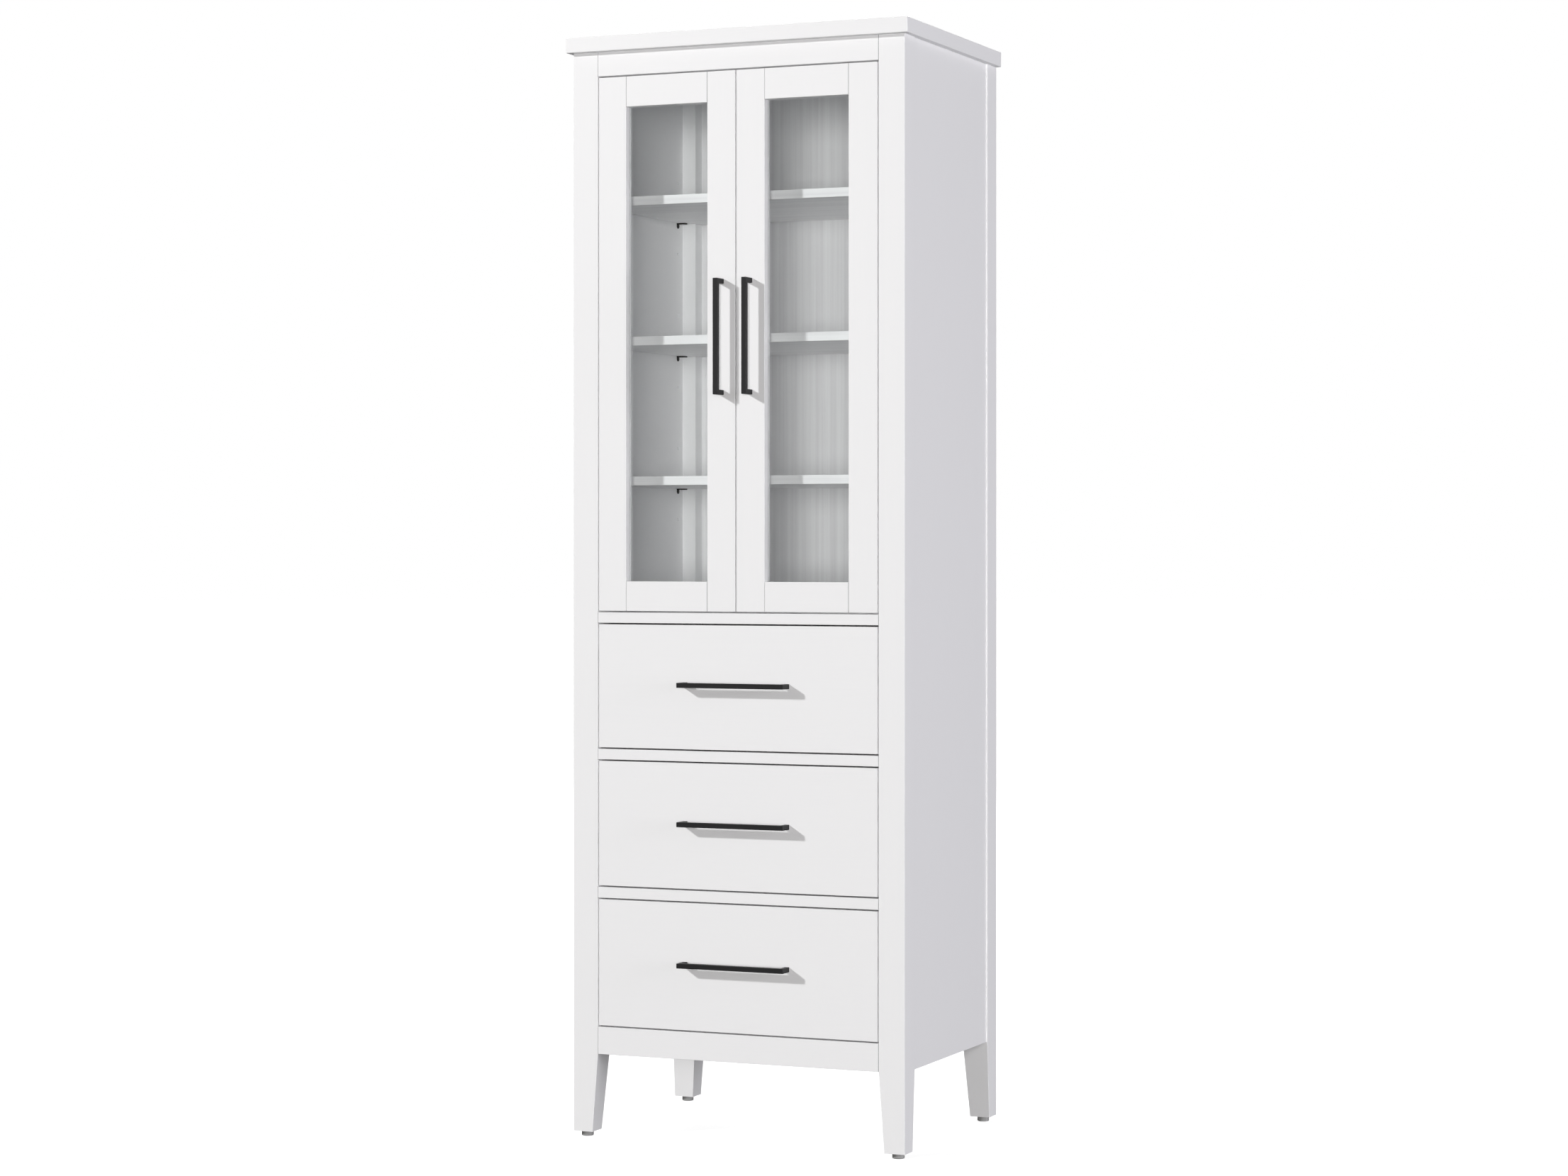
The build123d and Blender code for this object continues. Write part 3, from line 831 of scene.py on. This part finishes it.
# ---- Drawer fronts and boxes --------------------------------------------------------------------
# The fronts are sprayed like the doors. The boxes and bottoms are clear-lacquered birch plywood:
# level grain on the faces, and thin light and dark plies along the edges.
BIRCH_TONES = ("E3CDA8", "D2B68B")
BIRCH_PLIES = ("DCC7A2", "B08D60")
BIRCH_GRAIN_MM = (2.2, 90.0)
BIRCH_GRAIN_DEPTH_MM = 0.05
BIRCH_ROUGHNESS = (0.42, 0.58)
PLY_MM = 1.5
PLY_EDGE = (0.4, 0.6)

for drawer in ("top", "middle", "bottom"):
    finish_node(f"{drawer}_drawer_front", level_lacquer)


def birch_plywood(name, fine_axis):
    """Birch plywood: grain lines across fine_axis, and, where fine_axis is Z, plies on faces that
    look up.
    """
    material = bpy.data.materials.new(name)
    material.use_nodes = True
    tree = material.node_tree
    tree.nodes.clear()
    where = add_node(tree, "ShaderNodeTexCoord")
    scale = [1 / (BIRCH_GRAIN_MM[1] * MM)] * 3
    scale["XYZ".index(fine_axis)] = 1 / (BIRCH_GRAIN_MM[0] * MM)
    lines = add_node(
        tree, "ShaderNodeMapping", {"Vector": where.outputs["Object"], "Scale": scale}
    ).outputs["Vector"]
    grain = add_node(
        tree,
        "ShaderNodeTexNoise",
        {"Vector": lines, "Scale": 1.0, "Detail": 5.0, "Roughness": 0.62, "Distortion": 0.6},
    ).outputs["Fac"]
    face = add_node(
        tree,
        "ShaderNodeMix",
        {0: grain, 6: linear(BIRCH_TONES[0]), 7: linear(BIRCH_TONES[1])},
        data_type="RGBA",
    )
    cut = add_node(tree, "ShaderNodeSeparateXYZ", {"Vector": where.outputs["Object"]})
    rough = add_node(
        tree,
        "ShaderNodeMapRange",
        {"Value": grain, "To Min": BIRCH_ROUGHNESS[0], "To Max": BIRCH_ROUGHNESS[1]},
    )
    raised = add_node(
        tree, "ShaderNodeBump", {"Height": grain, "Distance": BIRCH_GRAIN_DEPTH_MM * MM}
    )
    colour = face.outputs[2]
    if fine_axis == "Z":
        away = add_node(tree, "ShaderNodeMath", {0: cut.outputs["X"]}, operation="ABSOLUTE")
        side_board = add_node(
            tree, "ShaderNodeMath", {0: away.outputs[0], 1: box_inside}, operation="GREATER_THAN"
        )
        depth = add_node(
            tree,
            "ShaderNodeMix",
            {0: side_board.outputs[0], 2: cut.outputs["Y"], 3: cut.outputs["X"]},
        )
        layer = add_node(
            tree,
            "ShaderNodeMath",
            {0: depth.outputs[0], 1: 1 / (PLY_MM * MM)},
            operation="MULTIPLY",
        )
        turn = add_node(tree, "ShaderNodeMath", {0: layer.outputs[0], 1: 1.0}, operation="PINGPONG")
        sharp = add_node(
            tree,
            "ShaderNodeMapRange",
            {"Value": turn.outputs[0], "From Min": PLY_EDGE[0], "From Max": PLY_EDGE[1]},
        )
        ply = add_node(
            tree,
            "ShaderNodeMix",
            {0: sharp.outputs["Result"], 6: linear(BIRCH_PLIES[0]), 7: linear(BIRCH_PLIES[1])},
            data_type="RGBA",
        )
        looks = add_node(tree, "ShaderNodeSeparateXYZ", {"Vector": where.outputs["Normal"]})
        edge = add_node(
            tree, "ShaderNodeMath", {0: looks.outputs["Z"], 1: 0.5}, operation="GREATER_THAN"
        )
        edged = add_node(
            tree,
            "ShaderNodeMix",
            {0: edge.outputs[0], 6: face.outputs[2], 7: ply.outputs[2]},
            data_type="RGBA",
        )
        colour = edged.outputs[2]
    wood = add_node(
        tree,
        "ShaderNodeBsdfPrincipled",
        {
            "Base Color": colour,
            "Roughness": rough.outputs["Result"],
            "Normal": raised.outputs["Normal"],
            "IOR": LACQUER_IOR,
        },
    )
    add_node(tree, "ShaderNodeOutputMaterial", {"Surface": wood.outputs["BSDF"]})
    return material


box_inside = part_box("top_drawer_box")[1].x - BOX_BOARD
box_ply = birch_plywood("clear_lacquered_birch_plywood", "Z")
bottom_ply = birch_plywood("clear_lacquered_birch_bottom", "Y")
for drawer in ("top", "middle", "bottom"):
    finish_node(f"{drawer}_drawer_box", box_ply)
    finish_node(f"{drawer}_drawer_bottom", bottom_ply)


# ---- Drawer box screws --------------------------------------------------------------------------
# Four zinc-plated screws pull each front onto its box from inside, and flat-headed ones fix the
# box's corners through its sides, clear of the slide.
FRONT_SCREW = (3.9 * MM, 1.6 * MM)
FRONT_SCREW_X = 165 * MM
FRONT_SCREW_INSET = 32 * MM
CORNER_SCREW = (3.2 * MM, 0.5 * MM)
CORNER_SCREW_LEVELS = np.array([24, 104, 142]) * MM

for drawer in ("top", "middle", "bottom"):
    low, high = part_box(f"{drawer}_drawer_box")
    inner = low.y + BOX_BOARD
    front_seats = [
        (x, inner, z)
        for x in (-FRONT_SCREW_X, FRONT_SCREW_X)
        for z in (low.z + FRONT_SCREW_INSET, high.z - FRONT_SCREW_INSET)
    ]
    stacks = [screw_heads(front_seats, (0, 1, 0), FRONT_SCREW)]
    for sign in (-1, 1):
        corner_seats = [
            (sign * high.x, y, low.z + level)
            for y in (low.y + BOX_BOARD / 2, high.y - BOX_BOARD / 2)
            for level in CORNER_SCREW_LEVELS
        ]
        stacks.append(screw_heads(corner_seats, (sign, 0, 0), CORNER_SCREW))
    build_solids(
        f"{drawer}_drawer_box_screws", stacks, bright_zinc, f"{drawer}_drawer"
    )


# ---- Drawer slides ----------------------------------------------------------------------------
# Three-member ball-bearing slides, rolled from steel strip and zinc plated bright. The rolling
# leaves fine lines along each member.
SLIDE_ROUGHNESS = (0.26, 0.4)
SLIDE_LINE_MM = (0.5, 60)

zinc = plated_steel(
    "bright_zinc_plated_rolled_steel", ZINC_TONES, SLIDE_ROUGHNESS, "Y", SLIDE_LINE_MM
)
finish_node("cabinet_runners", zinc)
for drawer in ("top", "middle", "bottom"):
    finish_node(f"{drawer}_drawer_runners", zinc)
    finish_node(f"{drawer}_drawer_slide_middles", zinc)


# ---- Slide screws -------------------------------------------------------------------------------
# Flat-headed screws fix the outer members to the cleats and the inner members to the drawer's
# sides, three along each.
SLIDE_SCREW_SHARES = np.array([0.1, 0.46, 0.91])
OUTER_SCREW = (3.9 * MM, 0.6 * MM)
INNER_SCREW = (3.6 * MM, 1.5 * MM)
SHEET = 1.2 * MM

levels = {}
for drawer in ("top", "middle", "bottom"):
    low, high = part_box(f"{drawer}_drawer_runners")
    levels[drawer] = (low.z + high.z) / 2
    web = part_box(f"{drawer}_drawer_box")[1].x + SHEET
    along = low.y + SLIDE_SCREW_SHARES * (high.y - low.y)
    stacks = [
        screw_heads([(sign * web, y, levels[drawer]) for y in along], (sign, 0, 0), INNER_SCREW)
        for sign in (-1, 1)
    ]
    build_solids(
        f"{drawer}_drawer_runner_screws", stacks, bright_zinc, f"{drawer}_drawer"
    )
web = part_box("cabinet_runners")[1].x - SHEET
spots = [(y, z) for y in along for z in levels.values()]
stacks = [
    screw_heads([(sign * web, y, z) for y, z in spots], (-sign, 0, 0), OUTER_SCREW)
    for sign in (-1, 1)
]
build_solids("cabinet_runner_screws", stacks, bright_zinc, "cabinet")


# ---- Ball cages ---------------------------------------------------------------------------------
# In each slide two folded steel cages hold rows of 3 mm balls, one pair between the cabinet's
# member and the middle one, one pair between the middle one and the drawer's.
BALL = 1.5 * MM
BALL_STEP = 13 * MM
BALLS = 10
CAGE_SHEET = 0.4 * MM
CAGE_LIP = 1.9 * MM
# Half the height between the two rows, the balls' and the web's distance from the middle of the
# cabinet, and how far back along the middle member the cage starts.
CAGES = {
    "outer": (19.75 * MM, 244.6 * MM, 248.7 * MM, 205 * MM),
    "inner": (15.45 * MM, 242.8 * MM, 245.9 * MM, 12 * MM),
}


def balls(centres):
    """Small balls: rings at polar angle p have radius r sin p and stand r cos p along Y."""
    p = np.radians([8, 35, 62, 90, 118, 145, 172])[:, None]
    a = np.radians(np.arange(0, 360, 36))[None, :]
    one = np.stack([np.sin(p) * np.cos(a), np.cos(p) + 0 * a, np.sin(p) * np.sin(a)], axis=-1)
    return np.array(centres)[:, None, None, :] + BALL * one[None]


def cage(sign, level, half, lip, web, start, length):
    """A folded strip: a U in the XZ plane, its web upright at one side, carried along Y."""
    inner, outer = half - CAGE_SHEET / 2, half + CAGE_SHEET / 2
    profile = [(lip, outer), (web, outer), (web, -outer), (lip, -outer)]
    profile += [(lip, -inner), (web - CAGE_SHEET, -inner), (web - CAGE_SHEET, inner), (lip, inner)]
    x, z = np.array(profile).T
    y = start + np.array([0, length])
    ring = [np.broadcast_to(v, (2, 8)) for v in (sign * x, y[:, None], level + z)]
    return np.stack(ring, axis=-1)[None]


for drawer, level in levels.items():
    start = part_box(f"{drawer}_drawer_slide_middles")[0].y
    stacks = []
    for half, middle, web, offset in CAGES.values():
        first = start + offset + BALL_STEP / 2
        rows = first + BALL_STEP * np.arange(BALLS)
        stacks += [
            cage(sign, level, half, middle - CAGE_LIP, web, start + offset, BALL_STEP * BALLS)
            for sign in (-1, 1)
        ]
        centres = [
            (sign * middle, y, level + up * half)
            for sign in (-1, 1)
            for up in (-1, 1)
            for y in rows
        ]
        stacks.append(balls(centres))
    build_solids(
        f"{drawer}_drawer_ball_cages", stacks, zinc, f"{drawer}_drawer_slides"
    )
